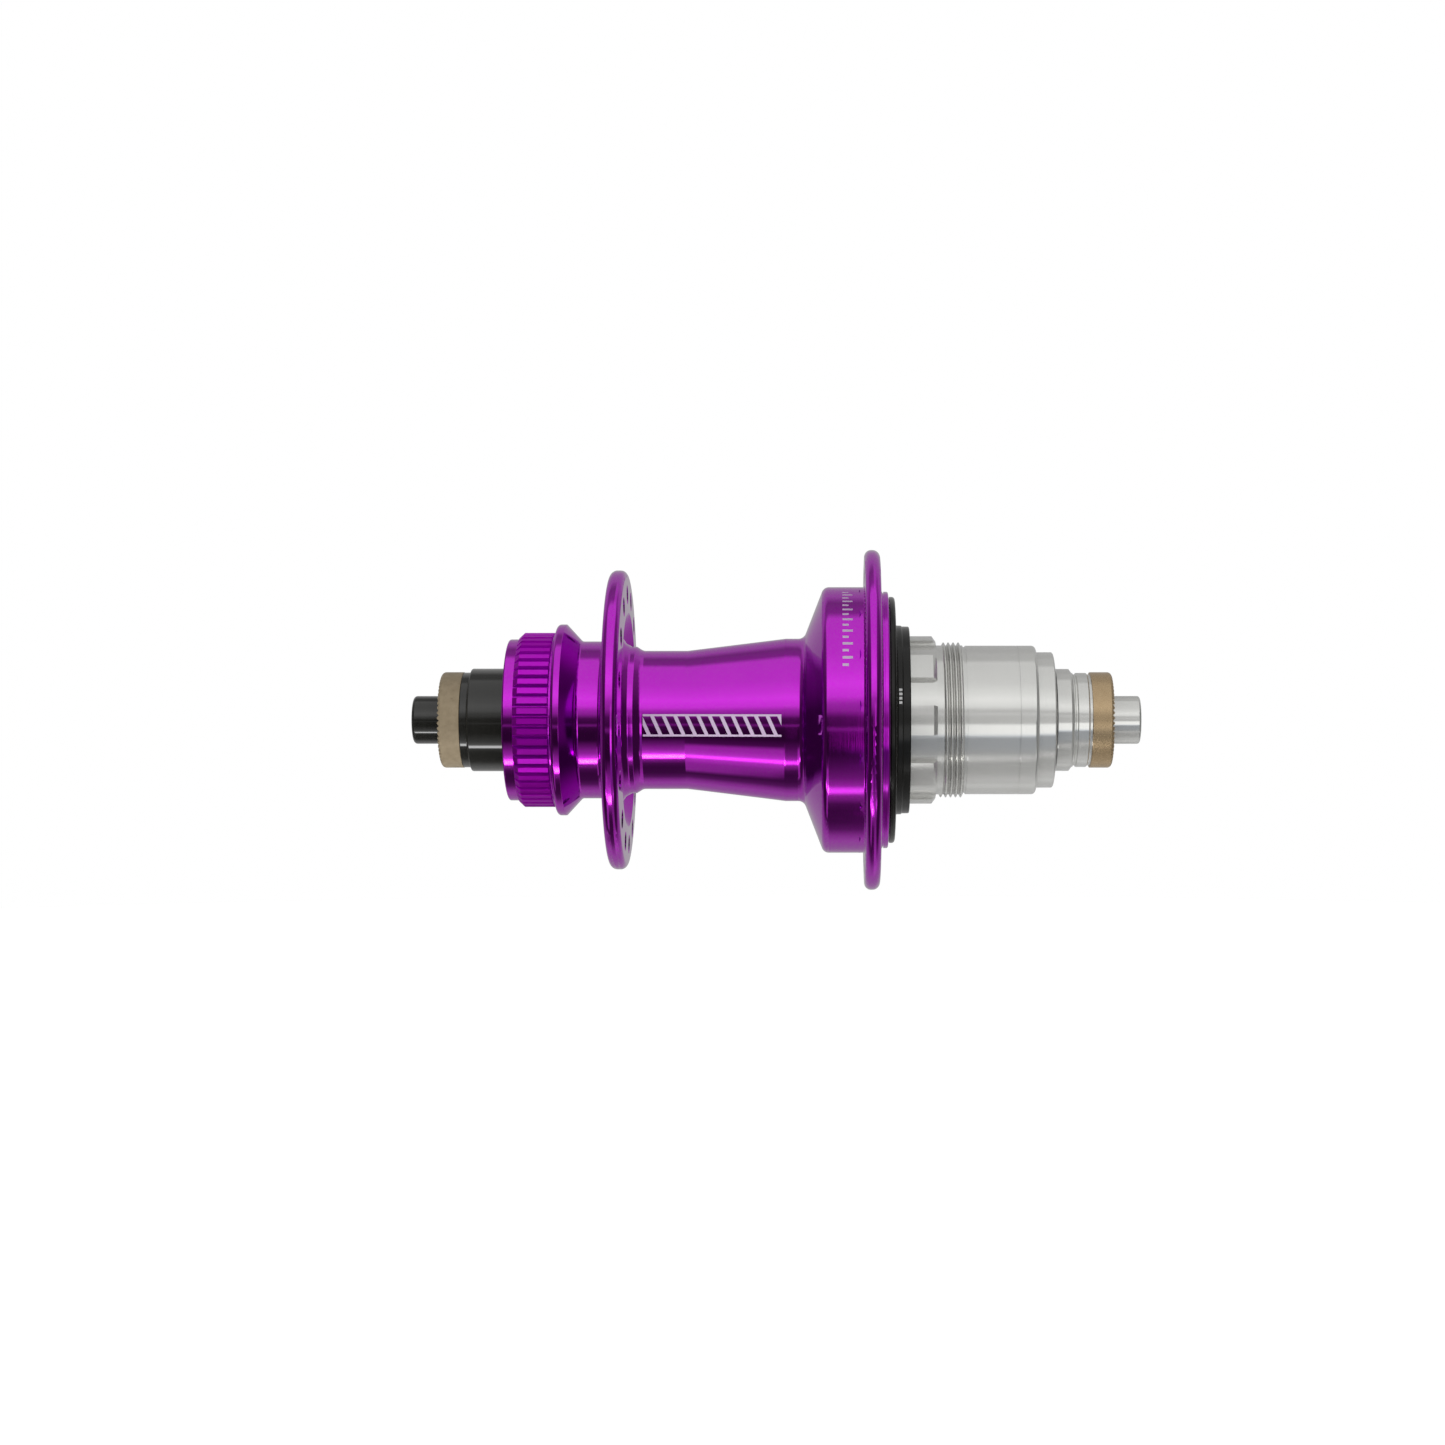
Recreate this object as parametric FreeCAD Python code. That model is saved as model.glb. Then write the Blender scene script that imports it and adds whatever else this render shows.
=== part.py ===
"""Rear bicycle hub: disc-brake shell, six-pawl freewheel and splined cassette driver.

Row frame, millimetres: +X runs along the axle to the drive side, +Z is up, and the
origin is on the axle's centre line, halfway between the two faces that the frame
clamps. Every turned piece is drawn as a half outline of (x, radius) points.
"""
import FreeCAD, Part
import math
import os

V = FreeCAD.Vector
ORIGIN = V(0, 0, 0)
AXIS = V(1, 0, 0)

# Axle and end caps
OVER_LOCKNUTS = 135.0        # between the two serrated clamping faces
OVERALL = 146.5              # tip to tip of the axle ends
DROPOUT_R = 4.83             # axle ends that drop into the frame
SKEWER_R = 2.6               # hole for the quick-release skewer
RING_SEAT_R = 5.1            # the caps' seat inside the grip rings
GRIP_RING_R = 9.65
GRIP_RING_WIDTH = 4.4
GRIP_TEETH = 56
GRIP_TOOTH_DEPTH = 0.5
GRIP_CREST_R = 8.0           # the ridges between the V grooves are full height outside this
GRIP_CORNER_R = 0.8          # rounded outer corner of the toothed face
CAP_BODY_R = 10.37
AXLE_R = 8.5                 # bearing seats of the axle
AXLE_END_R = 7.5             # smaller seat for the outer driver bearing
AXLE_BORE_R = 6.3
AXLE_SHOULDER_R = 9.6
HALF_OVER_LOCKNUTS = OVER_LOCKNUTS / 2
HALF_OVERALL = OVERALL / 2
RING_INNER_X = HALF_OVER_LOCKNUTS - GRIP_RING_WIDTH
O_RING_LEFT_X = -47.6
O_RING_RIGHT_X = 56.6
O_RING_SECTION_R = 0.55

# Ball bearings: bore, outside diameter, width, ball diameter, number of balls
BEARINGS = {
    "left_bearing": (17.0, 28.0, 7.0, 3.5, 11),
    "right_bearing": (17.0, 30.0, 7.0, 3.97, 10),
    "driver_inner_bearing": (17.0, 30.0, 7.0, 3.97, 10),
    "driver_outer_bearing": (15.0, 24.0, 5.0, 2.78, 13),
}
BEARING_X = {                # left face of each bearing
    "left_bearing": -44.0,
    "right_bearing": 3.0,
    "driver_inner_bearing": 13.0,
    "driver_outer_bearing": 49.2,
}
BALL_GAP = 0.06              # between a ball and its groove

# Hub shell
SHELL_LEFT = -53.85
SHELL_RIGHT = 22.4
ROTOR_NOSE_R = 16.27
ROTOR_SPLINE_R = 17.59
ROTOR_SPLINES = 54
ROTOR_SPLINE_LEFT = -51.7
ROTOR_SPLINE_RIGHT = -44.6
ROTOR_ROOT_R = 16.5          # floor of the grooves between the splines
ROTOR_STOP_X = -44.1         # face that the rotor is pressed against
LOCKRING_MINOR_R = 14.45     # M30 x 1 internal thread of the rotor lockring
LOCKRING_MAJOR_R = 15.0
THREAD_PITCH = 1.0
LEFT_FLANGE_FACES = (-33.35, -30.15)
LEFT_FLANGE_R = 30.2
LEFT_SPOKE_PCD = 50.7
RIGHT_FLANGE_FACES = (17.65, 20.75)
RIGHT_FLANGE_R = 34.29
RIGHT_SPOKE_PCD = 59.0
SPOKES_PER_FLANGE = 16
SPOKE_HOLE_R = 1.3
SPOKE_SINK = 0.55            # depth of the countersinks
LEFT_SPOKE_PHASE = -4.4      # degrees from the top, towards +Y
BARREL_R = 13.96
BARREL_BIG_R = 16.41
BARREL_BORE_R = 12.2
HOUSING_R = 26.82
RATCHET_SEAT_R = 23.0

# Ratchet and pawls
RATCHET_TEETH = 104
RATCHET_TIP_R = 20.0
RATCHET_ROOT_R = 20.7
RATCHET_LEFT = 11.0
RATCHET_RIGHT = 20.0
PAWL_STEPS = (0, 17, 34, 52, 69, 86)   # ratchet teeth from the first pawl to each
PAWL_PIVOT_R = 17.6          # distance of a pawl's pivot from the axle
PAWL_ROOT_R = 1.5            # round root that a pawl turns on
PAWL_TIP_Y = 6.2
PAWL_TIP_Z = 18.8
PAWL_SWING = 6.0             # degrees from pressed in to engaged
PAWL_LEFT = 12.0
PAWL_RIGHT = 19.0
PAWL_GAP = 0.08              # round a pawl's root in its socket
TOOTH_GAP = 0.26             # between an engaged tip and the tooth it drives

# Cassette driver
CARRIER_R = 19.5
CARRIER_LEFT = 10.9
CARRIER_RIGHT = 20.3
SEAL_SEAT_R = 16.92
LUG_LEFT = 26.65
LUG_RIGHT = 31.95
LUG_R = 16.92
LUG_VALLEY_R = 15.75
LUGS = 9
LUG_PHASE = 0.65             # degrees above -Y of the first lug's middle
THREAD_LEFT = 33.1
THREAD_RIGHT = 37.2
THREAD_ROOT_R = 15.05
THREAD_CREST_R = 15.65
THREAD_RELIEF_R = 14.75
PILOT_R = 15.0
DRIVER_END_R = 13.68
DRIVER_RIGHT = 55.6
CIRCLIP_LEFT = BEARING_X["driver_outer_bearing"] + BEARINGS["driver_outer_bearing"][2]
CIRCLIP_WIDTH = 0.7
CIRCLIP_GROOVE_R = 12.6

pieces = {}


def outline(points):
    """Closed wire in the XZ plane through (x, radius[, corner radius]) points."""
    corners = []
    for index, point in enumerate(points):
        here = V(point[0], 0, point[1])
        before = V(points[index - 1][0], 0, points[index - 1][1])
        after_point = points[(index + 1) % len(points)]
        after = V(after_point[0], 0, after_point[1])
        if len(point) < 3:
            corners.append((here, None, here))
            continue
        back = (before - here).normalize()
        ahead = (after - here).normalize()
        half_angle = back.getAngle(ahead) / 2
        setback = point[2] / math.tan(half_angle)
        bisector = (back + ahead).normalize()
        middle = here + bisector * (point[2] / math.sin(half_angle) - point[2])
        corners.append((here + back * setback, middle, here + ahead * setback))
    edges = []
    for index, (start, middle, end) in enumerate(corners):
        if middle is not None:
            edges.append(Part.Arc(start, middle, end).toShape())
        following = corners[(index + 1) % len(corners)][0]
        if end.distanceToPoint(following) > 1e-6:
            edges.append(Part.makeLine(end, following))
    return Part.Wire(edges)


def turned(points):
    """Solid of revolution about the axle."""
    return Part.Face(outline(points)).revolve(ORIGIN, AXIS, 360)


def disc(left, right, radius):
    return Part.makeCylinder(radius, right - left, V(left, 0, 0), AXIS)


def tube(left, right, inner, outer):
    return disc(left, right, outer).cut(disc(left, right, inner))


def turned_to(shape, degrees):
    """Copy of a shape turned about the axle by the right-hand rule."""
    copy = shape.copy()
    copy.rotate(ORIGIN, AXIS, degrees)
    return copy


def around(shape, count, first=0.0):
    step = 360.0 / count
    return [turned_to(shape, first + step * index) for index in range(count)]


def prism(points, left, right):
    """Straight prism along X over a closed outline of (y, z) points."""
    corners = [V(left, y, z) for y, z in points]
    face = Part.Face(Part.makePolygon(corners + corners[:1]))
    return face.extrude(V(right - left, 0, 0))


def polar(radius, degrees):
    """(y, z) at an angle from +Y towards +Z."""
    angle = math.radians(degrees)
    return radius * math.cos(angle), radius * math.sin(angle)


def helical_ridge(left, right, root, crest, root_width, crest_width):
    """One right-hand thread ridge with flat crests along the axle."""
    helix = Part.makeHelix(THREAD_PITCH, right - left, root)
    profile = Part.makePolygon([
        V(root, 0, -root_width / 2),
        V(crest, 0, -crest_width / 2),
        V(crest, 0, crest_width / 2),
        V(root, 0, root_width / 2),
        V(root, 0, -root_width / 2),
    ])
    ridge = Part.Wire(helix).makePipeShell([profile], True, True)
    ridge.rotate(ORIGIN, V(0, 1, 0), 90)
    ridge.translate(V(left, 0, 0))
    return ridge


# ---------------------------------------------------------------- axle and end caps

def axle_tube():
    left_end = -50.0
    right_end = 58.0
    right_step = 47.5
    left_shoulder = BEARING_X["left_bearing"] + BEARINGS["left_bearing"][2]
    right_shoulder = BEARING_X["right_bearing"]
    body = turned([
        (left_end, AXLE_BORE_R, 0.3), (left_end, AXLE_R, 0.4),
        (left_shoulder, AXLE_R), (left_shoulder, AXLE_SHOULDER_R, 0.3),
        (right_shoulder, AXLE_SHOULDER_R, 0.3), (right_shoulder, AXLE_R),
        (right_step, AXLE_R, 0.2), (right_step, AXLE_END_R),
        (right_end, AXLE_END_R, 0.4), (right_end, AXLE_BORE_R, 0.3),
    ])
    for groove_x, radius in ((O_RING_LEFT_X, AXLE_R), (O_RING_RIGHT_X, AXLE_END_R)):
        groove = tube(groove_x - 0.75, groove_x + 0.75, radius - O_RING_SECTION_R * 2, radius + 1)
        body = body.cut(groove)
    return body


def o_rings():
    rings = []
    for centre_x, radius in ((O_RING_LEFT_X, AXLE_R), (O_RING_RIGHT_X, AXLE_END_R)):
        middle_r = radius - O_RING_SECTION_R - 0.01
        rings.append(Part.makeTorus(middle_r, O_RING_SECTION_R - 0.01, V(centre_x, 0, 0), AXIS))
    return Part.makeCompound(rings)


def left_end_cap():
    tip = -HALF_OVERALL
    race_face = BEARING_X["left_bearing"]
    pocket_floor = -50.3
    return turned([
        (tip, SKEWER_R, 0.3), (tip, DROPOUT_R, 0.7),
        (-HALF_OVER_LOCKNUTS, DROPOUT_R), (-HALF_OVER_LOCKNUTS, RING_SEAT_R),
        (-RING_INNER_X, RING_SEAT_R), (-RING_INNER_X, 9.58, 0.15),
        (-61.7, 9.58), (-61.4, CAP_BODY_R, 0.35),
        (race_face - 0.9, CAP_BODY_R, 0.2), (race_face - 0.6, 9.9), (race_face, 9.9),
        (race_face, AXLE_R), (pocket_floor, AXLE_R), (pocket_floor, SKEWER_R),
    ])


def right_end_cap():
    tip = HALF_OVERALL
    race_face = BEARING_X["driver_outer_bearing"] + BEARINGS["driver_outer_bearing"][2]
    pocket_floor = 58.3
    return turned([
        (tip, SKEWER_R, 0.3), (pocket_floor, SKEWER_R), (pocket_floor, AXLE_END_R),
        (race_face, AXLE_END_R), (race_face, 8.7), (55.95, 8.7),
        (55.95, 10.3, 0.2), (58.85, 10.3), (59.45, 9.5), (59.6, 9.5), (59.8, 9.2), (60.1, 9.2),
        (60.3, 9.5), (62.35, 9.5, 0.1), (62.6, 9.2), (RING_INNER_X, 9.2),
        (RING_INNER_X, RING_SEAT_R), (HALF_OVER_LOCKNUTS, RING_SEAT_R),
        (HALF_OVER_LOCKNUTS, DROPOUT_R), (tip, DROPOUT_R, 0.5),
    ])


def grip_ring():
    """Left-hand ring; radial V grooves bite into the frame's dropout."""
    face = -HALF_OVER_LOCKNUTS
    ring = turned([
        (face, RING_SEAT_R), (face, GRIP_RING_R, GRIP_CORNER_R),
        (-RING_INNER_X, GRIP_RING_R, 0.1), (-RING_INNER_X, RING_SEAT_R),
    ])
    inner_land = RING_SEAT_R + 0.8
    clear = 0.1
    half_width = math.pi * GRIP_CREST_R / GRIP_TEETH * (1 + clear / GRIP_TOOTH_DEPTH)
    corners = [
        V(face - clear, -half_width, inner_land), V(face - clear, half_width, inner_land),
        V(face + GRIP_TOOTH_DEPTH, 0, inner_land),
    ]
    groove = Part.Face(Part.makePolygon(corners + corners[:1])).extrude(V(0, 0, 6))
    grooves = around(groove, GRIP_TEETH)
    return ring.cut(Part.makeCompound(grooves))


def mirrored(shape):
    return shape.mirror(ORIGIN, AXIS)


def drive_spacer():
    left = BEARING_X["right_bearing"] + BEARINGS["right_bearing"][2]
    return tube(left, BEARING_X["driver_inner_bearing"], AXLE_R, 10.2)


def driver_spacer_tube():
    left = BEARING_X["driver_inner_bearing"] + BEARINGS["driver_inner_bearing"][2]
    right = BEARING_X["driver_outer_bearing"]
    step = 47.5
    return turned([
        (left, AXLE_R), (left, 10.0, 0.2), (48.2, 10.0), (right, 8.8),
        (right, AXLE_END_R), (step, AXLE_END_R), (step, AXLE_R),
    ])


pieces["axle_tube"] = axle_tube()
pieces["end_cap_o_rings"] = o_rings()
pieces["left_end_cap"] = left_end_cap()
pieces["right_end_cap"] = right_end_cap()
pieces["left_grip_ring"] = grip_ring()
pieces["right_grip_ring"] = mirrored(pieces["left_grip_ring"])
pieces["drive_side_spacer"] = drive_spacer()
pieces["driver_spacer_tube"] = driver_spacer_tube()


# ---------------------------------------------------------------- ball bearings

def make_bearing(name):
    """Inner race, outer race, balls, cage and two seals of one cartridge bearing."""
    bore, outside, width, ball, count = BEARINGS[name]
    left = BEARING_X[name]
    right = left + width
    centre = V(left + width / 2, 0, 0)
    pitch_r = (bore + outside) / 4
    ball_r = ball / 2
    inner_land = pitch_r - 0.53 * ball_r
    outer_land = pitch_r + 0.53 * ball_r
    groove = Part.makeTorus(pitch_r, ball_r + BALL_GAP, centre, AXIS)
    inner = turned([
        (left, bore / 2, 0.25), (left, inner_land), (right, inner_land), (right, bore / 2, 0.25),
    ])
    outer = turned([
        (left, outer_land), (left, outside / 2, 0.3), (right, outside / 2, 0.3), (right, outer_land),
    ])
    ball_centre = V(centre.x, 0, pitch_r)
    balls = around(Part.makeSphere(ball_r, ball_centre), count)
    pockets = around(Part.makeSphere(ball_r + 0.08, ball_centre), count)
    cage_half = ball_r + 0.35
    cage = tube(centre.x - cage_half, centre.x + cage_half, inner_land + 0.15, outer_land - 0.15)
    seals = []
    for seal_left in (left + 0.17, right - 0.62):
        seals.append(tube(seal_left, seal_left + 0.45, inner_land + 0.12, outer_land))
    pieces[name + "_inner_race"] = inner.cut(groove)
    pieces[name + "_outer_race"] = outer.cut(groove)
    pieces[name + "_balls"] = Part.makeCompound(balls)
    pieces[name + "_cage"] = cage.cut(Part.makeCompound(pockets))
    pieces[name + "_seals"] = Part.makeCompound(seals)


for bearing_name in BEARINGS:
    make_bearing(bearing_name)


# ---------------------------------------------------------------- hub shell

def shell_blank():
    """Outside and bores of the shell, turned in one piece."""
    left_seat = BEARINGS["left_bearing"][1] / 2
    right_seat = BEARINGS["right_bearing"][1] / 2
    left_shoulder = BEARING_X["left_bearing"] + BEARINGS["left_bearing"][2]
    right_shoulder = BEARING_X["right_bearing"]
    floor = right_shoulder + BEARINGS["right_bearing"][2]
    left_bead = LEFT_FLANGE_R - 0.02
    left_outer, left_inner = LEFT_FLANGE_FACES
    right_inner, right_outer = RIGHT_FLANGE_FACES
    outside = [
        (SHELL_LEFT, ROTOR_NOSE_R, 0.35),
        (ROTOR_STOP_X, ROTOR_NOSE_R), (ROTOR_STOP_X, 19.29, 0.75), (-42.35, 19.29, 0.15),
        (-39.2, 15.86, 0.8), (-34.4, 15.86, 0.9),
        (left_outer, left_bead, 1.4), (left_inner, left_bead, 1.3),
        (-29.95, 21.7, 0.2), (-31.7, 19.9, 0.7), (-31.7, 17.7, 0.6), (-30.4, 15.5, 1.2),
        (-29.3, 14.85, 0.8), (-28.2, 14.8, 0.3), (-26.9, BARREL_R, 1.6),
        (-18.0, BARREL_R, 1.5), (1.85, BARREL_BIG_R, 2.0),
        (5.45, BARREL_BIG_R, 1.6), (9.5, HOUSING_R, 1.5),
        (right_inner, HOUSING_R, 0.3), (right_inner, RIGHT_FLANGE_R, 1.35),
        (right_outer, RIGHT_FLANGE_R, 1.5), (20.95, 25.9, 0.2),
        (21.25, 25.9), (21.3, 25.6), (21.45, 25.6), (21.5, 25.9), (SHELL_RIGHT, 25.9, 0.35),
    ]
    inside = [
        (SHELL_RIGHT, 23.2, 0.2), (RATCHET_RIGHT, 23.2), (RATCHET_RIGHT, RATCHET_SEAT_R),
        (RATCHET_LEFT, RATCHET_SEAT_R), (RATCHET_LEFT, 21.2), (floor, 19.9, 0.5),
        (floor, right_seat), (right_shoulder, right_seat), (right_shoulder, BARREL_BORE_R),
        (left_shoulder, BARREL_BORE_R), (left_shoulder, left_seat),
        (BEARING_X["left_bearing"] - 0.3, left_seat), (BEARING_X["left_bearing"] - 1.2, LOCKRING_MINOR_R),
        (SHELL_LEFT, LOCKRING_MINOR_R, 0.45),
    ]
    return turned(outside + inside)


def rotor_splines():
    """Ring of teeth that the brake rotor slides over, joined to the nose."""
    step = 360.0 / ROTOR_SPLINES
    hollow = ROTOR_NOSE_R - 0.6
    foot = step * 0.45
    crest = step * 0.27
    points = []
    for index in range(ROTOR_SPLINES):
        middle = 180.0 + step * index
        points.append(polar(ROTOR_ROOT_R, middle - foot))
        points.append(polar(ROTOR_SPLINE_R, middle - crest))
        points.append(polar(ROTOR_SPLINE_R, middle + crest))
        points.append(polar(ROTOR_ROOT_R, middle + foot))
    teeth = prism(points, ROTOR_SPLINE_LEFT, ROTOR_SPLINE_RIGHT)
    lead_in = turned([
        (ROTOR_SPLINE_LEFT, hollow), (ROTOR_SPLINE_LEFT, 16.65), (-50.7, ROTOR_SPLINE_R),
        (-50.4, ROTOR_SPLINE_R + 0.3), (-45.1, ROTOR_SPLINE_R + 0.3), (-44.8, ROTOR_SPLINE_R),
        (ROTOR_SPLINE_RIGHT, 17.35), (ROTOR_SPLINE_RIGHT, hollow),
    ])
    return teeth.common(lead_in)


def lockring_grooves():
    """Thread form cut inside the nose, as rings at the thread's pitch."""
    grooves = []
    depth = LOCKRING_MAJOR_R - LOCKRING_MINOR_R
    for turn in range(7):
        centre_x = SHELL_LEFT + 1.0 + THREAD_PITCH * turn
        grooves.append(turned([
            (centre_x - 0.42, LOCKRING_MINOR_R - 0.1), (centre_x - 0.08, LOCKRING_MINOR_R + depth),
            (centre_x + 0.08, LOCKRING_MINOR_R + depth), (centre_x + 0.42, LOCKRING_MINOR_R - 0.1),
        ]))
    return grooves


def spoke_holes(faces, pcd, phase):
    """Holes through one flange, each countersunk on both faces."""
    reach = 3 * SPOKE_SINK
    hole = disc(faces[0] - reach, faces[1] + reach, SPOKE_HOLE_R)
    for face_x, side in zip(faces, (-1, 1)):
        cone = Part.makeCone(
            SPOKE_HOLE_R, SPOKE_HOLE_R + reach, reach,
            V(face_x - side * SPOKE_SINK, 0, 0), V(side, 0, 0))
        hole = hole.fuse(cone)
    hole.translate(V(0, 0, pcd / 2))
    return around(hole, SPOKES_PER_FLANGE, -phase)


def hub_shell():
    shell = shell_blank().fuse(rotor_splines())
    half_step = 180.0 / SPOKES_PER_FLANGE
    cutters = lockring_grooves()
    cutters += spoke_holes(LEFT_FLANGE_FACES, LEFT_SPOKE_PCD, LEFT_SPOKE_PHASE)
    cutters += spoke_holes(RIGHT_FLANGE_FACES, RIGHT_SPOKE_PCD, LEFT_SPOKE_PHASE + half_step)
    return shell.cut(Part.makeCompound(cutters)).removeSplitter()


pieces["hub_shell"] = hub_shell()


# ---------------------------------------------------------------- ratchet and pawls

def engaged_tip():
    """Where a pawl's tip lies when it is swung out, as (radius, degrees from the top)."""
    swing = math.radians(PAWL_SWING)
    reach_z = PAWL_TIP_Z - PAWL_PIVOT_R
    tip_y = PAWL_TIP_Y * math.cos(swing) - reach_z * math.sin(swing)
    tip_z = PAWL_TIP_Y * math.sin(swing) + reach_z * math.cos(swing) + PAWL_PIVOT_R
    return math.hypot(tip_y, tip_z), math.degrees(math.atan2(tip_y, tip_z))


TIP_R, TIP_ANGLE = engaged_tip()
TOOTH_FACE_ANGLE = 90 - TIP_ANGLE - math.degrees(TOOTH_GAP / TIP_R)


def ratchet_ring():
    """Hardened ring; each tooth has a radial driving face and a long ramp."""
    step = 360.0 / RATCHET_TEETH
    points = []
    for index in range(RATCHET_TEETH):
        face = TOOTH_FACE_ANGLE + step * index
        points.append(polar(RATCHET_TIP_R, face))
        points.append(polar(RATCHET_ROOT_R, face))
        points.append(polar(RATCHET_ROOT_R, face + step * 0.35))
    opening = prism(points, RATCHET_LEFT - 1, RATCHET_RIGHT + 1)
    return disc(RATCHET_LEFT, RATCHET_RIGHT, RATCHET_SEAT_R).cut(opening)


def pawl():
    """Pawl at the top of the carrier, pressed in; its tip points towards +Y."""
    face_angle = math.radians(TIP_ANGLE + PAWL_SWING)
    face_length = 1.35
    tip_low = (PAWL_TIP_Y - face_length * math.sin(face_angle),
               PAWL_TIP_Z - face_length * math.cos(face_angle))
    arm = prism([
        (0.0, PAWL_PIVOT_R + PAWL_ROOT_R - 0.05), (4.6, 18.72), (5.2, 18.58),
        (PAWL_TIP_Y, PAWL_TIP_Z), tip_low, (2.6, 16.75), (0.6, 16.3),
    ], PAWL_LEFT, PAWL_RIGHT)
    root = disc(PAWL_LEFT, PAWL_RIGHT, PAWL_ROOT_R)
    root.translate(V(0, 0, PAWL_PIVOT_R))
    return arm.fuse(root).removeSplitter()


def pawl_pocket():
    """Room that a pawl and its spring need in the carrier."""
    socket = disc(PAWL_LEFT - 0.1, PAWL_RIGHT + 0.1, PAWL_ROOT_R + PAWL_GAP)
    socket.translate(V(0, 0, PAWL_PIVOT_R))
    trough = prism([
        (0.0, 20.5), (7.4, 20.5), (7.4, 16.75), (6.9, 16.55), (2.2, 15.85), (1.0, 15.95), (0.0, 16.5),
    ], PAWL_LEFT - 0.1, PAWL_RIGHT + 0.1)
    return socket.fuse(trough)


def pawl_spring():
    """Bent leaf of spring steel between a pocket's floor and the pawl."""
    leaf = 0.22
    return prism([
        (2.5, 16.0), (6.7, 16.62), (6.95, 16.85), (6.75, 17.05), (4.4, 16.95),
        (4.4, 16.95 - leaf), (6.5, 16.83), (6.55, 16.8), (2.5, 16.0 + leaf),
    ], PAWL_LEFT + 2.0, PAWL_RIGHT - 2.0)


def pawl_angles():
    step = 360.0 / RATCHET_TEETH
    return [step * teeth for teeth in PAWL_STEPS]


pieces["ratchet_ring"] = ratchet_ring()
for number, angle in enumerate(pawl_angles(), start=1):
    pieces["pawl_%d" % number] = turned_to(pawl(), angle)
pieces["pawl_springs"] = Part.makeCompound([turned_to(pawl_spring(), a) for a in pawl_angles()])


# ---------------------------------------------------------------- cassette driver

def driver_blank():
    inner_seat = BEARINGS["driver_inner_bearing"][1] / 2
    outer_seat = BEARINGS["driver_outer_bearing"][1] / 2
    inner_shoulder = BEARING_X["driver_inner_bearing"] + BEARINGS["driver_inner_bearing"][2]
    outer_shoulder = BEARING_X["driver_outer_bearing"]
    return turned([
        (CARRIER_LEFT, inner_seat, 0.3), (CARRIER_LEFT, CARRIER_R, 0.5),
        (CARRIER_RIGHT, CARRIER_R, 0.4), (CARRIER_RIGHT, 17.4), (22.3, 17.4), (22.3, SEAL_SEAT_R),
        (31.2, LUG_R, 0.1), (LUG_RIGHT, LUG_VALLEY_R + 0.15), (LUG_RIGHT, THREAD_ROOT_R),
        (37.4, THREAD_ROOT_R), (37.4, THREAD_RELIEF_R), (38.0, THREAD_RELIEF_R), (38.0, PILOT_R),
        (48.2, PILOT_R), (48.2, PILOT_R - 0.12), (48.4, PILOT_R - 0.12), (48.4, PILOT_R, 0.05),
        (52.1, PILOT_R, 0.75), (52.1, DRIVER_END_R), (DRIVER_RIGHT, DRIVER_END_R, 0.35),
        (DRIVER_RIGHT, outer_seat, 0.15),
        (CIRCLIP_LEFT + CIRCLIP_WIDTH, outer_seat), (CIRCLIP_LEFT + CIRCLIP_WIDTH, CIRCLIP_GROOVE_R),
        (CIRCLIP_LEFT, CIRCLIP_GROOVE_R), (CIRCLIP_LEFT, outer_seat),
        (outer_shoulder, outer_seat), (outer_shoulder, 11.3), (inner_shoulder, 11.3),
        (inner_shoulder, inner_seat),
    ])


def lug_gaps():
    """Gaps between the nine driving lugs, cut down to the valley radius."""
    quarter = 360.0 / LUGS / 4
    ring = tube(LUG_LEFT, LUG_RIGHT + 0.5, LUG_VALLEY_R, LUG_R + 1)
    far = LUG_R + 3
    wedge_points = [(0.0, 0.0), polar(far, 180 - quarter), polar(far, 180 + quarter)]
    wedge = prism(wedge_points, LUG_LEFT, LUG_RIGHT + 0.5)
    gap = ring.common(wedge)
    return around(gap, LUGS, -LUG_PHASE + 2 * quarter)


def driver_body():
    body = driver_blank()
    ridge = helical_ridge(THREAD_LEFT, THREAD_RIGHT, THREAD_ROOT_R - 0.08, THREAD_CREST_R, 0.86, 0.16)
    body = body.fuse(ridge)
    cutters = lug_gaps()
    cutters += [turned_to(pawl_pocket(), angle) for angle in pawl_angles()]
    return body.cut(Part.makeCompound(cutters))


def driver_seal():
    """Black two-step seal that covers the housing's mouth and turns with the driver."""
    return turned([
        (22.35, SEAL_SEAT_R), (22.35, 22.0), (20.9, 22.0, 0.2), (20.9, 22.7, 0.2), (22.62, 22.7),
        (22.62, 24.85, 0.15), (23.72, 24.85, 0.6), (23.8, 22.5), (23.95, 19.1, 0.3),
        (25.0, 19.05, 0.1), (25.2, 18.88), (LUG_LEFT, 18.86, 0.25), (LUG_LEFT, SEAL_SEAT_R),
    ])


def circlip():
    """Internal retaining ring with a gap and two plier lugs."""
    left = CIRCLIP_LEFT + 0.02
    right = CIRCLIP_LEFT + CIRCLIP_WIDTH - 0.02
    ring = tube(left, right, 11.0, CIRCLIP_GROOVE_R - 0.05)
    gap = prism([(-1.6, 0), (1.6, 0), (1.6, 14), (-1.6, 14)], left - 1, right + 1)
    ring = ring.cut(gap)
    for side in (-1, 1):
        lug = prism([
            (side * 1.6, 10.2), (side * 3.6, 10.2), (side * 3.6, 11.6), (side * 1.6, 11.9),
        ], left, right)
        eye = disc(left - 1, right + 1, 0.45)
        eye.translate(V(0, side * 2.6, 10.9))
        ring = ring.fuse(lug).cut(eye)
    return ring.removeSplitter()


pieces["driver_body"] = driver_body()
pieces["driver_seal"] = driver_seal()
pieces["driver_circlip"] = circlip()


# ---------------------------------------------------------------- export

os.makedirs("parts", exist_ok=True)
for name, shape in pieces.items():
    print("%-34s solids %2d  valid %s  volume %9.2f" % (name, len(shape.Solids), shape.isValid(), shape.Volume))
    shape.exportStep("parts/%s.step" % name)
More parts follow.
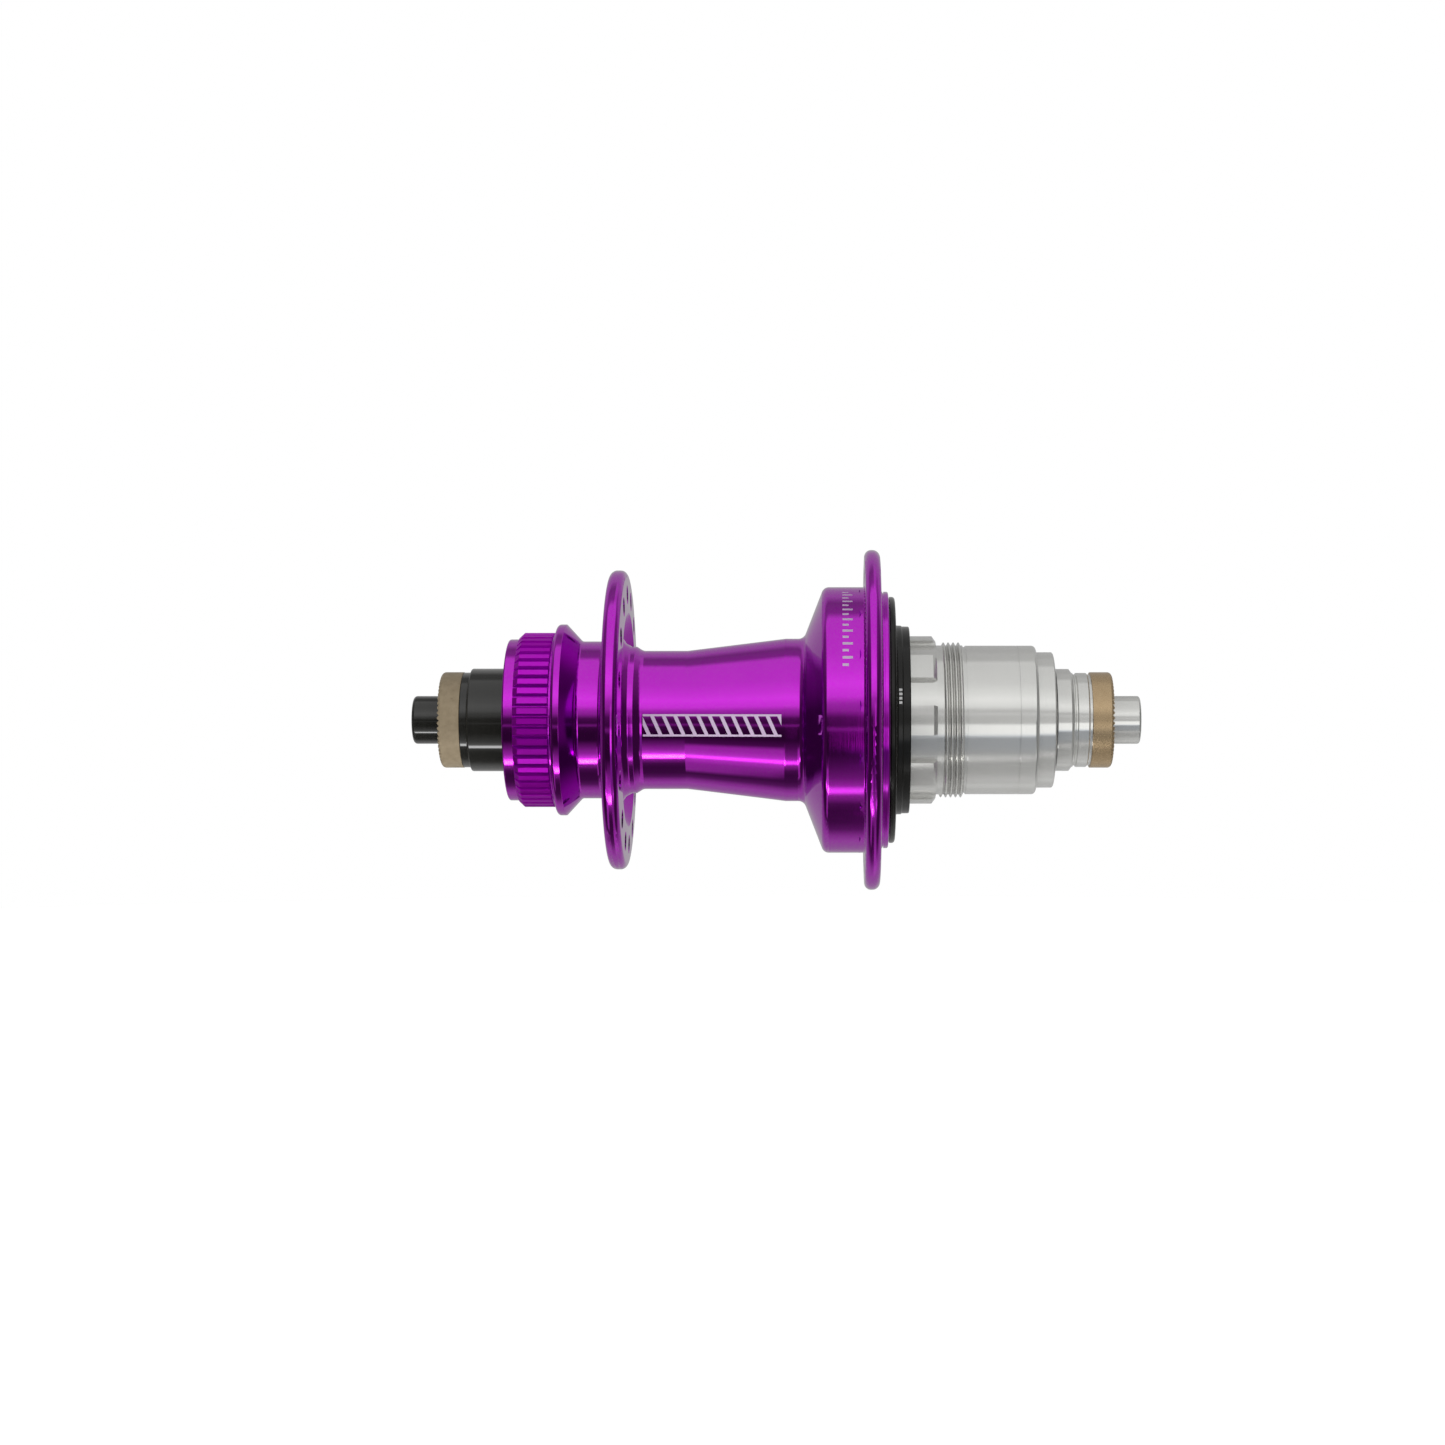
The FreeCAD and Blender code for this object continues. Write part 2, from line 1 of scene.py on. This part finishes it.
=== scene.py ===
"""Rear bicycle hub: the finishes of its pieces and the studio it is shown in.

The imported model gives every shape; all lengths here are metres in its frame, with +X
along the axle to the drive side and +Z up.
"""
import math

import bpy
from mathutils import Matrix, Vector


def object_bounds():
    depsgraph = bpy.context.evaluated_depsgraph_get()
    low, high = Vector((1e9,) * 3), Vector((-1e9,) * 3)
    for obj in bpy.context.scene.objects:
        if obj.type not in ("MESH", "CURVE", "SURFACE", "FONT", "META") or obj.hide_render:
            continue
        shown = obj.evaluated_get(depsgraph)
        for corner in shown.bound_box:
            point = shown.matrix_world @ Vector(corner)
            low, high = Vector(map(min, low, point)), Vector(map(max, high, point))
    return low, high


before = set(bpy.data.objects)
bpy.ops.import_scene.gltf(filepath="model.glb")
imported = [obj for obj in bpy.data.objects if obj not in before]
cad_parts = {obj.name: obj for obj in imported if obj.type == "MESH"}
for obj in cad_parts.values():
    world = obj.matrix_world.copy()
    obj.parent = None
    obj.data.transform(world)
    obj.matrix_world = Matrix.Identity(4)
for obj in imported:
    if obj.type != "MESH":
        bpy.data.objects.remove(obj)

cad_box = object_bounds()


# Hub shell. Machined from one bar of aluminium, polished and dyed purple in the anodising
# bath, so that the metal shines through a clear coloured skin. Its marks are etched by laser.

class Signal:
    """One output of a node; arithmetic on it adds Math nodes."""

    def __init__(self, tree, socket):
        self.tree = tree
        self.socket = socket

    def node(self, kind, inputs, output=0, stops=None, **settings):
        """A new node: its settings first, then the values or links of its sockets."""
        made = self.tree.nodes.new(kind)
        for name, value in settings.items():
            setattr(made, name, value)
        if stops:
            ramp = made.color_ramp
            while len(ramp.elements) < len(stops):
                ramp.elements.new(1.0)
            for element, (place, level) in zip(ramp.elements, stops):
                element.position = place
                element.color = (level, level, level, 1.0)
        for name, value in inputs.items():
            if isinstance(value, Signal):
                self.tree.links.new(value.socket, made.inputs[name])
            else:
                made.inputs[name].default_value = value
        return Signal(self.tree, made.outputs[output])

    def math(self, operation, *others):
        return self.node("ShaderNodeMath", dict(enumerate((self,) + others)), operation=operation)

    def __add__(self, other):
        return self.math("ADD", other)

    def __radd__(self, other):
        return self.math("ADD", other)

    def __sub__(self, other):
        return self.math("SUBTRACT", other)

    def __rsub__(self, other):
        return self.node("ShaderNodeMath", {0: other, 1: self}, operation="SUBTRACT")

    def __mul__(self, other):
        return self.math("MULTIPLY", other)

    def __rmul__(self, other):
        return self.math("MULTIPLY", other)

    def __truediv__(self, other):
        return self.math("DIVIDE", other)

    def between(self, low, high):
        """1 where this value lies between two numbers, 0 elsewhere."""
        return self.math("GREATER_THAN", low) * self.math("LESS_THAN", high)

    def step(self, low, high):
        """0 below low and 1 above high, with a smooth rise between."""
        return self.node("ShaderNodeMapRange", {"Value": self, "From Min": low, "From Max": high},
                         interpolation_type="SMOOTHSTEP")

    def blend(self, start, end):
        """Colour that goes from start to end as this value goes from 0 to 1."""
        return self.node("ShaderNodeMix", {"Factor": self, "A": start, "B": end}, output="Result",
                         data_type="RGBA")


class Finish:
    """A material with one Principled shader, read in the piece's own coordinates."""

    def __init__(self, name, **constants):
        self.material = bpy.data.materials.new(name)
        self.material.use_nodes = True
        self.tree = self.material.node_tree
        self.shader = self.tree.nodes["Principled BSDF"]
        for socket, value in constants.items():
            self.shader.inputs[socket.replace("_", " ")].default_value = value
        coordinates = self.tree.nodes.new("ShaderNodeTexCoord")
        self.place = Signal(self.tree, coordinates.outputs["Object"])
        self.x = self.axis(0)
        self.y = self.axis(1)
        self.z = self.axis(2)
        self.radius = (self.y * self.y + self.z * self.z).math("SQRT")
        self.angle = self.z.math("ARCTAN2", -1 * self.y) * (180 / math.pi)

    def axis(self, index):
        return self.place.node("ShaderNodeSeparateXYZ", {"Vector": self.place}, output=index)

    def noise(self, size, stretch=(1.0, 1.0, 1.0), detail=2.0):
        """Soft noise with blobs of about one size, in metres, drawn out along an axis."""
        scaled = self.place.node("ShaderNodeVectorMath", {0: self.place, 1: stretch},
                                 operation="MULTIPLY")
        return self.place.node("ShaderNodeTexNoise",
                               {"Vector": scaled, "Scale": 1.0 / size, "Detail": detail})

    def feed(self, socket, signal):
        self.tree.links.new(signal.socket, self.shader.inputs[socket])

    def bump(self, height, distance):
        relief = height.node("ShaderNodeBump", {"Height": height, "Distance": distance}, output="Normal")
        self.feed("Normal", relief)

    def on(self, *nodes):
        for node in nodes:
            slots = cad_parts[node].data.materials
            slots.clear()
            slots.append(self.material)


def etched_marks(finish):
    """Band of slanted bars between two rails on the barrel, and ticks round the housing."""
    left, right = -0.0262, 0.0012
    middle, half_height = -0.00085, 0.0022
    rail_height = 0.0004
    bars, bar_share, slant = 12, 0.34, 0.45
    pitch = (right - left) / bars
    height = finish.z - middle
    along = (finish.x - left + slant * height) / pitch
    bar = along.math("FRACT").math("LESS_THAN", bar_share)
    rail = height.math("ABSOLUTE").math("GREATER_THAN", half_height - rail_height)
    band = finish.x.between(left, right) * height.between(-half_height, half_height)
    front = finish.y.math("LESS_THAN", 0.0)
    band = band * front * bar.math("MAXIMUM", rail)

    tick_left, tick_right, tick_cut = 0.0132, 0.0152, 0.0008
    first_angle, last_angle = 23.8, 74.8
    tick_pitch, tick_share = 3.4, 0.36
    ticks = (finish.angle / tick_pitch).math("FRACT").math("LESS_THAN", tick_share)
    short = (finish.angle / (2 * tick_pitch)).math("FRACT").math("GREATER_THAN", 0.5)
    reach = finish.x.math("LESS_THAN", tick_right - tick_cut * short)
    started = finish.x.math("GREATER_THAN", tick_left)
    ticks = ticks * reach * started * finish.angle.between(first_angle, last_angle)
    return band.math("MAXIMUM", ticks)


def purple_anodised():
    finish = Finish("purple_anodised", Coat_Roughness=0.03, Coat_IOR=1.42,
                    Specular_Tint=(0.75, 0.25, 0.8, 1.0))
    streaks = finish.noise(0.00012, (1.0, 0.02, 0.02))
    cloud = finish.noise(0.006)
    marks = etched_marks(finish)
    dye = cloud.blend((0.60, 0.004, 0.70, 1.0), (0.66, 0.008, 0.76, 1.0))
    finish.feed("Base Color", marks.blend(dye, (0.56, 0.45, 0.60, 1.0)))
    finish.feed("Metallic", 1.0 - 0.75 * marks)
    spline_left, spline_right = -0.0517, -0.0446
    spline_root, spline_crest = 0.01645, 0.018
    splines = finish.x.between(spline_left, spline_right)
    splines = splines * finish.radius.between(spline_root, spline_crest)
    finish.feed("Coat Weight", 1.0 - 0.85 * marks - 0.7 * splines)
    finish.feed("Roughness", 0.05 + 0.05 * streaks + 0.35 * marks + 0.33 * splines)
    finish.bump(streaks, 0.0000012)
    return finish


purple_anodised().on("hub_shell")


# Axle end caps. Turned aluminium: the left one is dyed black and polished, the right one is
# left silver. Each ends in the plain stub that drops into the frame.

def black_anodised():
    finish = Finish("black_anodised", Coat_Weight=0.5, Coat_Roughness=0.02)
    streaks = finish.noise(0.00015, (1.0, 0.02, 0.02))
    finish.feed("Base Color", streaks.blend((0.006, 0.006, 0.0055, 1.0), (0.014, 0.014, 0.012, 1.0)))
    finish.feed("Roughness", 0.025 + 0.03 * streaks)
    finish.bump(streaks, 0.0000004)
    return finish


def turned_aluminium(name, rough, tint, thread=None):
    """Bare aluminium; painted shade darkens the roots of a thread given as (left, right, root, crest).
    """
    finish = Finish(name, Metallic=0.85)
    streaks = finish.noise(0.00015, (1.0, 0.02, 0.02))
    cloud = finish.noise(0.004)
    bright = tuple(tint) + (1.0,)
    dull = tuple(level * 0.9 for level in tint) + (1.0,)
    tone = (0.6 * streaks + 0.4 * cloud).blend(dull, bright)
    if thread:
        left, right, root, crest = thread
        # Painted shade: the base colour turns dark grey-brown in the thread roots, where shade falls
        # between the crests.
        root_shade = (1 - finish.radius.step(root, crest)) * finish.x.between(left, right)
        tone = (0.5 * root_shade).blend(tone, (0.26, 0.25, 0.23, 1.0))
    finish.feed("Base Color", tone)
    finish.feed("Roughness", rough + 0.08 * streaks)
    finish.bump(streaks, 0.0000004)
    return finish


black_anodised().on("left_end_cap")
turned_aluminium("silver_aluminium", 0.06, (0.76, 0.76, 0.735)).on(
    "right_end_cap", "axle_tube", "drive_side_spacer", "driver_spacer_tube")
# The driver's thread; its roots get painted shade.
driver_thread = (0.0333, 0.0371, 0.01505, 0.0153)
turned_aluminium("driver_aluminium", 0.08, (0.77, 0.77, 0.745), driver_thread).on("driver_body")


# Grip rings. Hard steel rings with a dull bronze-coloured plating, whose radial teeth bite
# into the frame.

def bronze_plated(name, metallic, dull, bright):
    finish = Finish(name, Metallic=metallic)
    cloud = finish.noise(0.0011, detail=6.0)
    speckle = finish.noise(0.0002)
    stain = finish.noise(0.0006, detail=3.0).step(0.62, 0.74)
    plating = (cloud - 0.35 * stain).blend(tuple(dull) + (1.0,), tuple(bright) + (1.0,))
    finish.feed("Base Color", plating)
    finish.feed("Roughness", 0.5 - 0.33 * metallic + 0.12 * speckle)
    finish.bump(speckle, 0.000006)
    return finish


bronze_plated("left_bronze_plating", 0.3, (0.19, 0.145, 0.085), (0.31, 0.25, 0.165)).on("left_grip_ring")
bronze_plated("right_bronze_plating", 0.85, (0.44, 0.315, 0.18), (0.54, 0.4, 0.24)).on("right_grip_ring")


# Driver seal. A moulded black ring that keeps grit out of the ratchet.

def satin_black():
    finish = Finish("seal_black", Specular_IOR_Level=0.35)
    grain = finish.noise(0.0002, detail=4.0)
    tick_pitch, tick_share = 2.6, 0.6
    tick_left, tick_right = 0.0243, 0.0249
    ticks = (finish.angle / tick_pitch).math("FRACT").math("LESS_THAN", tick_share)
    ticks = ticks * finish.x.between(tick_left, tick_right)
    ticks = ticks * finish.angle.between(4 * tick_pitch, 8 * tick_pitch)
    black = grain.blend((0.003, 0.003, 0.0025, 1.0), (0.007, 0.007, 0.006, 1.0))
    finish.feed("Base Color", ticks.blend(black, (0.5, 0.5, 0.5, 1.0)))
    finish.feed("Roughness", 0.12 + 0.07 * grain)
    finish.bump(grain, 0.000001)
    return finish


satin_black().on("driver_seal")


# Bearings. Ground steel races and polished balls in a moulded cage, shut by rubber seals.

BEARINGS = ("left_bearing", "right_bearing", "driver_inner_bearing", "driver_outer_bearing")


def steel(name, colour, rough):
    finish = Finish(name, Metallic=1.0)
    streaks = finish.noise(0.0002, (1.0, 0.05, 0.05), detail=3.0)
    light = tuple(colour) + (1.0,)
    dark = tuple(level * 0.82 for level in colour) + (1.0,)
    finish.feed("Base Color", streaks.blend(dark, light))
    finish.feed("Roughness", rough + 0.1 * streaks)
    finish.bump(streaks, 0.000002)
    return finish


def moulded(name, dark, light, rough):
    finish = Finish(name)
    grain = finish.noise(0.0003, detail=4.0)
    finish.feed("Base Color", grain.blend(tuple(dark) + (1.0,), tuple(light) + (1.0,)))
    finish.feed("Roughness", rough + 0.1 * grain)
    finish.bump(grain, 0.000008)
    return finish


race_finish = steel("bearing_steel", (0.62, 0.62, 0.62), 0.2)
ball_finish = steel("ball_steel", (0.75, 0.75, 0.76), 0.06)
cage_finish = moulded("cage_plastic", (0.42, 0.33, 0.2), (0.5, 0.41, 0.27), 0.45)
seal_finish = moulded("bearing_seal_rubber", (0.012, 0.012, 0.012), (0.025, 0.025, 0.025), 0.5)
for bearing in BEARINGS:
    race_finish.on(bearing + "_inner_race", bearing + "_outer_race")
    ball_finish.on(bearing + "_balls")
    cage_finish.on(bearing + "_cage")
    seal_finish.on(bearing + "_seals")
moulded("o_ring_rubber", (0.01, 0.01, 0.01), (0.02, 0.02, 0.02), 0.5).on("end_cap_o_rings")
steel("ratchet_steel", (0.42, 0.42, 0.43), 0.25).on("ratchet_ring")
steel("pawl_steel", (0.5, 0.49, 0.47), 0.25).on(*["pawl_%d" % number for number in range(1, 7)])
steel("spring_steel", (0.35, 0.36, 0.42), 0.2).on("pawl_springs", "driver_circlip")


# Studio. A pale floor well below the hub and an even white surround, with a broad soft
# light overhead and a narrow strip low in front, as the finishes show in reflection.

hub_low = cad_box[0]
floor_drop = 0.12
floor_width = 3.0

bpy.ops.mesh.primitive_circle_add(vertices=96, radius=floor_width / 2, fill_type="NGON",
                                  location=(0, 0, hub_low.z - floor_drop))
floor = bpy.context.object
floor.name = "studio_floor"
floor_finish = bpy.data.materials.new("studio_white")
floor_finish.use_nodes = True
floor_shader = floor_finish.node_tree.nodes["Principled BSDF"]
floor_shader.inputs["Base Color"].default_value = (0.95, 0.95, 0.95, 1.0)
floor_shader.inputs["Emission Color"].default_value = (1.0, 1.0, 1.0, 1.0)
floor_shader.inputs["Emission Strength"].default_value = 1.0
floor.data.materials.append(floor_finish)
floor.visible_glossy = False

world = bpy.data.worlds.new("studio")
bpy.context.scene.world = world
world.use_nodes = True
sky = world.node_tree
background = sky.nodes["Background"]
direction_node = sky.nodes.new("ShaderNodeTexCoord")
direction = Signal(sky, direction_node.outputs["Generated"])
side = direction.node("ShaderNodeSeparateXYZ", {"Vector": direction}, output=0)
back = direction.node("ShaderNodeSeparateXYZ", {"Vector": direction}, output=1)
up = direction.node("ShaderNodeSeparateXYZ", {"Vector": direction}, output=2)
turn = up.math("ARCTAN2", -1 * back) / (2 * math.pi) + 0.5


def ring_of_light(levels):
    """Light round the axle from (degrees, level): 0 is level in front, 90 is overhead."""
    brightest = max(level for _, level in levels)
    stops = [((angle + 180) / 360, level / brightest) for angle, level in levels]
    return brightest * turn.node("ShaderNodeValToRGB", {"Fac": turn}, output="Color", stops=stops)


def panel(*levels):
    """A ring of light that is dark behind, and wherever its levels fall to 0."""
    return ring_of_light([(-180, 0), *levels, (180, 0)])


room = ring_of_light([
    (-180, 0.42), (-140, 0.40), (-128, 0.42), (-118, 0.32), (-108, 0.12), (-98, 0.06),
    (-84, 0.05), (-76, 0.08), (-68, 0.3), (-58, 0.42), (-50, 0.2), (-40, 0.09), (-28, 0.03),
    (-18, 0.03), (-10, 0.045), (-7, 0.22), (-4, 0.05), (3, 0.09), (9, 0.36), (15, 0.5),
    (21, 0.85), (32, 1.0), (42, 0.87), (60, 0.72), (98, 0.66), (106, 0.28), (122, 0.22),
    (134, 0.42), (180, 0.42),
])
strip = panel((-66.5, 0), (-64, 1), (-61.5, 1), (-57.5, 0))
glow = panel((-66, 0), (-60, 0.85), (-55, 0.5), (-50, 0.25), (-40, 0.11), (-30, 0))
rear_panel = panel((-132, 0), (-120, 0.8), (-104, 0.8), (-88, 0.2), (-70, 0),
                   (96, 0), (104, 1), (124, 1), (134, 0))
front_panel = panel((-27, 0), (-21, 1), (-7, 1), (-5, 0.3), (10, 0.3), (14, 0))
cool_patch = panel((-58, 0), (-42, 1), (-26, 1), (-20, 0))
low_panel = panel((-98, 0), (-90, 1), (-44, 1), (-38, 0))

# How much of each panel reaches the left end, the driver and the barrel's taper, by how far
# a reflected ray leans along the axle.
leftward = -1 * side
left_share = leftward.step(0.023, 0.048)
right_share = side.step(0.017, 0.03) * (1 - side.step(0.3, 0.5))
taper_share = leftward.step(0.17, 0.22) * (1 - leftward.step(0.42, 0.5))

lit = room.math("MAXIMUM", 0.26 * right_share) + front_panel * 0.9 * right_share
strip_share = (1.0 + 6.0 * left_share) * (1 - 0.85 * taper_share) * (1 - right_share)
lit = lit + strip * strip_share
lit = lit + 0.3 * low_panel * taper_share
lit = lit + glow * left_share * (1 - taper_share)
lit = lit + 0.22 * rear_panel * right_share

# Rays that leave along the axle see a dim wall, lighter overhead, behind and square on.
axial = side.math("ABSOLUTE")
overhead = up.step(0.1, 0.9)
behind = back.step(0.1, 0.6)
square_on = axial.step(0.92, 0.99)
end_tone = 0.045 + 0.15 * overhead + 0.3 * behind + 0.12 * square_on
towards_ends = axial.step(0.38, 0.62)
lit = towards_ends * end_tone + (1 - towards_ends) * lit

# Only reflections see the panels. The surround itself is even and white.
white = (1.0, 1.0, 1.0, 1.0)
cool_white = (0.9, 0.98, 1.1, 1.0)
rays = sky.nodes.new("ShaderNodeLightPath")
mirrored = Signal(sky, rays.outputs["Is Glossy Ray"])
strength = 1.0 + mirrored * (lit - 1.0)
sky.links.new(strength.socket, background.inputs["Strength"])
tint = (mirrored * right_share * cool_patch).blend(white, cool_white)
sky.links.new(tint.socket, background.inputs["Color"])

# The camera stands nearly level with the axle and looks at it square on, a little towards
# the drive side, with its frame slid back towards the left end.
camera_distance = 0.568
camera_x = 0.0107
camera_height = 0.009
frame_centre_x = -0.01098
frame_centre_z = -0.00052
frame_width = 0.2921

lens = bpy.data.cameras.new("camera")
camera = bpy.data.objects.new("camera", lens)
bpy.context.scene.collection.objects.link(camera)
bpy.context.scene.camera = camera
camera.location = (camera_x, -camera_distance, camera_height)
downward = math.atan2(camera_height - frame_centre_z, camera_distance)
camera.rotation_euler = (math.radians(90) - downward, 0, 0)
lens.sensor_width = 36.0
lens.lens = lens.sensor_width * camera_distance / frame_width
lens.shift_x = (frame_centre_x - camera_x) / frame_width
lens.clip_start = 0.01
lens.clip_end = 20.0
bpy.context.scene.view_settings.view_transform = "Standard"
